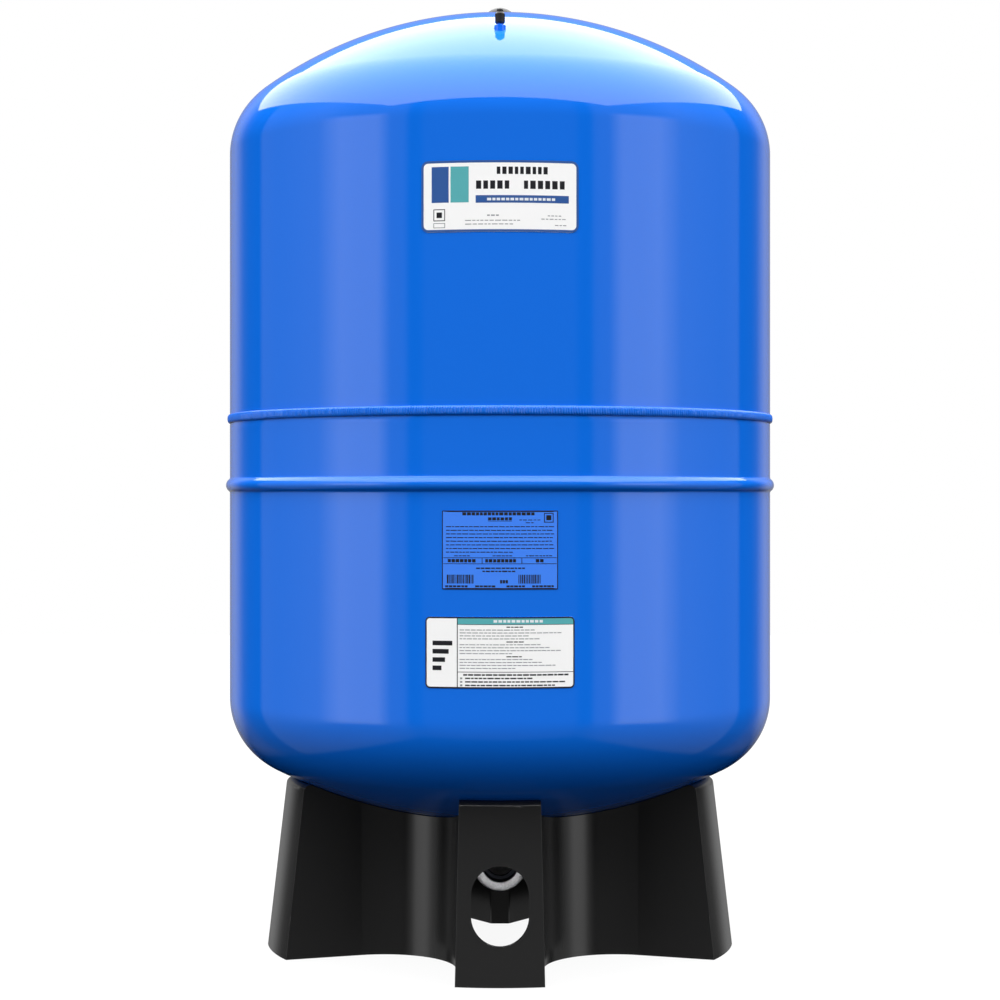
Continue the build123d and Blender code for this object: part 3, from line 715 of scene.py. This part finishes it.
def data_label_print():
    """The data label: rules, boxes and broken lines in one dark ink."""
    label = Print(DATA_LABEL_TOP, 5)
    label.frame(DATA_LABEL, 0.0, 1.0, 1.6, "dark")
    label.dashes(-41, 41, 2.0, 3.2, "dark", 4.5, 3.0, 0.9)
    label.dashes(-13, 13, 7.4, 3.2, "dark", 4.5, 3.0, 0.9)
    label.field(-13, 13, 11.2, 11.7, "dark")
    label.dashes(21, 44, 9.8, 0.9, "dark", 5)
    label.dashes(28, 38, 12.8, 0.9, "dark", 5)
    label.box(48, 58.5, 2.6, 13.1, 0.9, "dark")
    label.field(50.5, 56, 5.1, 10.6, "dark")
    for row in range(8):
        label.dashes(-59, 59 if row < 7 else 14, 17.0 + 3.95 * row, 1.0, "dark", 7, gap=0.9)
    for left, right in ((-50, -33), (-8, 13), (28, 59)):
        label.dashes(left, right, 48.6, 1.0, "dark", 6, gap=0.8)
    for depth in (50.9, 57.4):
        label.field(-61.8, 61.8, depth, depth + 0.7, "dark")
    for s in (-19.8, 23.3):
        label.field(s, s + 0.8, 51.6, 57.4, "dark")
    label.dashes(-57, -25, 52.6, 3.6, "dark", 4.0, 3.0, 0.8)
    label.dashes(-16, 20, 52.6, 3.6, "dark", 4.0, 3.0, 0.8)
    label.dashes(39, 48, 52.6, 3.6, "dark", 4.0, 3.0, 0.8)
    label.dashes(-26, 27, 61.8, 1.5, "dark", 6, gap=0.9)
    label.dashes(-19, 19, 65.2, 1.5, "dark", 6, gap=0.9)
    label.dashes(-58, -28, 69.6, 9.6, "dark", 1.9, 0.6, 0.75)
    label.dashes(20, 45, 69.6, 9.6, "dark", 1.9, 0.6, 0.75)
    label.dashes(0, 11, 75.4, 3.6, "dark", 2.6, 2.2, 0.6)
    for left, right in ((-60, -34), (-27, -5), (7, 27), (35, 60)):
        label.dashes(left, right, 81.2, 2.0, "dark", 4.5, gap=0.7)
    label.finish("data_label_print", INKS, "blue_vinyl")


def lower_label_print():
    """The lower label: a coloured header, bars beside a divider and lines of dashes."""
    label = Print(LOWER_LABEL_TOP, 23)
    label.frame(LOWER_LABEL, 0.0, 5.0, 1.6, "dark")
    label.field(-46.0, 80.5, 1.6, 7.9, "teal")
    label.field(-47.0, -46.0, 1.6, 76.0, "dark")
    label.field(-46.0, 80.5, 7.9, 8.5, "dark")
    label.dashes(-7, 48, 3.2, 2.8, "pale", 4.5, 3.0)
    for row in range(4):
        label.field(-74, -52 - 4 * row, 26 + 9 * row, 31 + 9 * row, "dark")
    for row in range(15):
        if row in (0, 5, 10):
            label.dashes(7, 27, 10.4 + 3.2 * row, 1.2, "dark", 7, gap=0.9)
        else:
            reach = label.random.uniform(12, 78)
            label.dashes(-44, reach, 10.4 + 3.2 * row, 0.95, "grey", 7, gap=0.9)
    label.field(-46.0, 80.5, 59.4, 60.1, "dark")
    label.dashes(-40, 76, 61.9, 1.8, "dark", 8, gap=0.9)
    for row, reach in enumerate((38, 74, 60)):
        label.field(-43.5, -41.0, 65.6 + 3.8 * row, 67.6 + 3.8 * row, "grey")
        label.dashes(-38, reach, 65.8 + 3.8 * row, 1.5, "dark", 7, gap=0.9)
    label.finish("lower_label_print", INKS, "white_vinyl")


upper_label_print()
data_label_print()
lower_label_print()

# Studio


def studio_camera():
    """A level camera in front of the tank, framed as the photograph is."""
    data = bpy.data.cameras.new("camera")
    data.sensor_width = SENSOR_WIDTH
    data.lens = FOCAL_PIXELS / FRAME_PIXELS * SENSOR_WIDTH
    data.shift_y = -HORIZON_ABOVE_CENTRE / FRAME_PIXELS
    data.clip_end = 100
    camera = bpy.data.objects.new("camera", data)
    camera.location = (0, CAMERA_Y * MM, CAMERA_Z * MM)
    camera.rotation_euler = (pi / 2, 0, 0)
    bpy.context.scene.collection.objects.link(camera)
    bpy.context.scene.camera = camera


# The studio's walls: azimuth from the front in degrees, and brightness, the same on both sides
WALL_TONES = (
    (0, 0.19),
    (30, 0.18),
    (33, 0.03),
    (37, 0.03),
    (39.5, 0.46),
    (44, 0.55),
    (60, 0.56),
    (80, 0.84),
    (92, 0.60),
    (104, 0.41),
    (117, 0.36),
    (120, 0.01),
    (131, 0.04),
    (137, 0.15),
    (144, 0.48),
    (150, 0.62),
    (162, 0.40),
    (180, 0.36),
)
# The same near the floor, where the walls are darker
LOW_TONES = (
    (0, 0.20),
    (28, 0.18),
    (34, 0.12),
    (41, 0.27),
    (50, 0.35),
    (65, 0.38),
    (90, 0.35),
    (102, 0.30),
    (116, 0.27),
    (120, 0.04),
    (131, 0.05),
    (139, 0.11),
    (151, 0.10),
    (160, 0.03),
    (180, 0.02),
)
LOW_SLOPE = -0.23
LOW_SOFTNESS = 0.16
# The walls end on the floor: height below the eye for each metre sideways, and for each metre ahead
FOOT_SIDEWAYS = 0.9
FOOT_AHEAD = 0.61
FOOT_SOFTNESS = 0.12
# Softboxes: tall ones on the walls, from azimuth to azimuth and from slope to slope, and a wide one
# overhead, whose edges are given for each metre up. A softness is how wide the edge's ramp is.
PANEL_TONE = 1.66
PANEL_AZIMUTH = (48.3, 74.4)
PANEL_AZIMUTH_SOFTNESS = (0.033, 0.065)
PANEL_SLOPE = (-0.22, 0.265)
PANEL_SLOPE_SOFTNESS = (0.06, 0.08)
CEILING_TONE = 4.2
CEILING_FRONT = 1.48
CEILING_BACK = 1.73
CEILING_SIDE = 1.58
CEILING_SOFTNESS = 0.03
# Floor: half its width, its height, and the share of it that takes the tank's shadow
FLOOR_REACH = 6000
FLOOR_Z = -0.5
FLOOR_SHADOW = 0.07


def studio_world():
    """White behind the object for the camera. All else sees a dim studio whose walls change in
    brightness with azimuth, with a tall softbox on each side and a wide one overhead."""
    world = bpy.data.worlds.new("studio")
    world.use_nodes = True
    tree = world.node_tree
    tree.nodes.clear()

    def add(kind, **values):
        node = tree.nodes.new(kind)
        for key, value in values.items():
            setattr(node, key, value)
        return node

    def math(operation, first, second=None, clamp=False):
        node = add("ShaderNodeMath", operation=operation, use_clamp=clamp)
        for socket, value in zip(node.inputs, (first, second)):
            if isinstance(value, (int, float)):
                socket.default_value = value
            elif value is not None:
                tree.links.new(value, socket)
        return node.outputs[0]

    def above(value, limit, softness):
        """1 where value is over limit, 0 under it, with a ramp as wide as softness between."""
        rise = math("DIVIDE", math("SUBTRACT", value, limit), softness)
        return math("ADD", rise, 0.5, clamp=True)

    def below(value, limit, softness):
        return math("SUBTRACT", 1.0, above(value, limit, softness))

    def both(first, second):
        return math("MULTIPLY", first, second)

    coords = add("ShaderNodeTexCoord")
    axes = add("ShaderNodeSeparateXYZ")
    tree.links.new(coords.outputs["Generated"], axes.inputs[0])
    x, y, z = axes.outputs
    side = math("ABSOLUTE", x)
    front = math("MULTIPLY", y, -1.0)
    azimuth = math("DIVIDE", math("ARCTAN2", side, front), pi)

    def tone_round(tones):
        """Brightness by azimuth, from a table."""
        ramp = add("ShaderNodeValToRGB")
        stops = ramp.color_ramp.elements
        while len(stops) < len(tones):
            stops.new(0.5)
        for stop, (angle, tone) in zip(stops, tones):
            stop.position = angle / 180
            stop.color = (tone, tone, tone, 1)
        tree.links.new(azimuth, ramp.inputs["Fac"])
        return ramp.outputs["Color"]

    level = math("SQRT", math("ADD", math("MULTIPLY", x, x), math("MULTIPLY", y, y)))
    level = math("MAXIMUM", level, 0.0001)
    slope = math("DIVIDE", z, level)
    low = below(slope, LOW_SLOPE, LOW_SOFTNESS)
    high_walls = both(tone_round(WALL_TONES), math("SUBTRACT", 1.0, low))
    walls = math("ADD", high_walls, both(tone_round(LOW_TONES), low))
    reach = math("MAXIMUM", both(side, FOOT_SIDEWAYS), both(front, FOOT_AHEAD))
    foot = math("DIVIDE", math("ADD", z, reach), level)
    walls = both(walls, above(foot, 0.0, FOOT_SOFTNESS))
    panel = both(
        both(
            above(azimuth, PANEL_AZIMUTH[0] / 180, PANEL_AZIMUTH_SOFTNESS[0]),
            below(azimuth, PANEL_AZIMUTH[1] / 180, PANEL_AZIMUTH_SOFTNESS[1]),
        ),
        both(
            above(slope, PANEL_SLOPE[0], PANEL_SLOPE_SOFTNESS[0]),
            below(slope, PANEL_SLOPE[1], PANEL_SLOPE_SOFTNESS[1]),
        ),
    )
    walls = math("ADD", walls, both(panel, PANEL_TONE))

    height = math("MAXIMUM", z, 0.0001)
    across = math("DIVIDE", side, height)
    ahead = math("DIVIDE", front, height)
    inside = both(
        below(across, CEILING_SIDE, CEILING_SOFTNESS),
        both(
            below(ahead, CEILING_FRONT, CEILING_SOFTNESS),
            above(ahead, -CEILING_BACK, CEILING_SOFTNESS),
        ),
    )
    outside = math("SUBTRACT", 1.0, inside)
    tone = math("ADD", both(inside, CEILING_TONE), both(walls, outside))

    light = add("ShaderNodeBackground")
    tree.links.new(tone, light.inputs["Strength"])
    white = add("ShaderNodeBackground")
    white.inputs["Strength"].default_value = 1.0
    white.inputs["Color"].default_value = (1, 1, 1, 1)
    path = add("ShaderNodeLightPath")
    mix = add("ShaderNodeMixShader")
    output = add("ShaderNodeOutputWorld")
    tree.links.new(path.outputs["Is Camera Ray"], mix.inputs[0])
    tree.links.new(light.outputs[0], mix.inputs[1])
    tree.links.new(white.outputs[0], mix.inputs[2])
    tree.links.new(mix.outputs[0], output.inputs[0])
    bpy.context.scene.world = world


def studio_floor():
    """A wide level floor, white with a trace of the tank's shadow. It lights nothing itself."""
    corners = np.array([(-1, -1), (1, -1), (1, 1), (-1, 1)]) * FLOOR_REACH
    points = np.column_stack([corners, np.full(len(corners), FLOOR_Z)])
    mesh = bpy.data.meshes.new("floor")
    mesh.from_pydata((points * MM).tolist(), [], [(0, 1, 2, 3)])
    floor = bpy.data.objects.new("floor", mesh)
    bpy.context.scene.collection.objects.link(floor)
    floor.visible_glossy = False
    floor.visible_diffuse = False
    floor.visible_shadow = False
    material = bpy.data.materials.new("floor_look")
    material.use_nodes = True
    tree = material.node_tree
    tree.nodes.clear()
    white = tree.nodes.new("ShaderNodeEmission")
    white.inputs["Strength"].default_value = 1.0
    paper = tree.nodes.new("ShaderNodeBsdfDiffuse")
    paper.inputs["Color"].default_value = (0.85, 0.85, 0.85, 1)
    mix = tree.nodes.new("ShaderNodeMixShader")
    mix.inputs["Fac"].default_value = FLOOR_SHADOW
    output = tree.nodes.new("ShaderNodeOutputMaterial")
    tree.links.new(white.outputs[0], mix.inputs[1])
    tree.links.new(paper.outputs[0], mix.inputs[2])
    tree.links.new(mix.outputs[0], output.inputs[0])
    mesh.materials.append(material)


def lamp(name, kind, place, aim, power, size, **values):
    """A lamp at a place, turned to a point, both in metres. The camera doesn't see it."""
    data = bpy.data.lights.new(name, kind)
    data.energy = power
    if kind == "AREA":
        data.shape = "DISK"
        data.size = size
    else:
        data.shadow_soft_size = size
    for key, value in values.items():
        setattr(data, key, value)
    obj = bpy.data.objects.new(name, data)
    obj.location = place
    direction = Vector(aim) - Vector(place)
    obj.rotation_euler = direction.to_track_quat("-Z", "Y").to_euler()
    bpy.context.scene.collection.objects.link(obj)
    obj.visible_camera = False
    return obj


def studio_lamps():
    """A broad lamp high over the tank, a narrow one that looks through the hole in the leg, and a
    small one on the floor inside the stand, for the light that a pale floor sends up."""
    top = lamp("top_lamp", "AREA", (0, 0, 3.2), (0, 0, 0), power=71.0, size=4.5)
    top.visible_glossy = False
    lamp(
        "pipe_lamp",
        "SPOT",
        (0, -2.4, 0.12),
        (0, -0.045, 0.0965),
        power=36.0,
        size=0.004,
        spot_size=radians(1.5),
        spot_blend=0.12,
    )
    glow = lamp("floor_glow", "AREA", (0, 0.02, 0.002), (0, 0.02, 1.0), power=0.012, size=0.16)
    glow.visible_glossy = False


studio_camera()
studio_lamps()
studio_world()
studio_floor()
bpy.context.scene.view_settings.view_transform = "Standard"
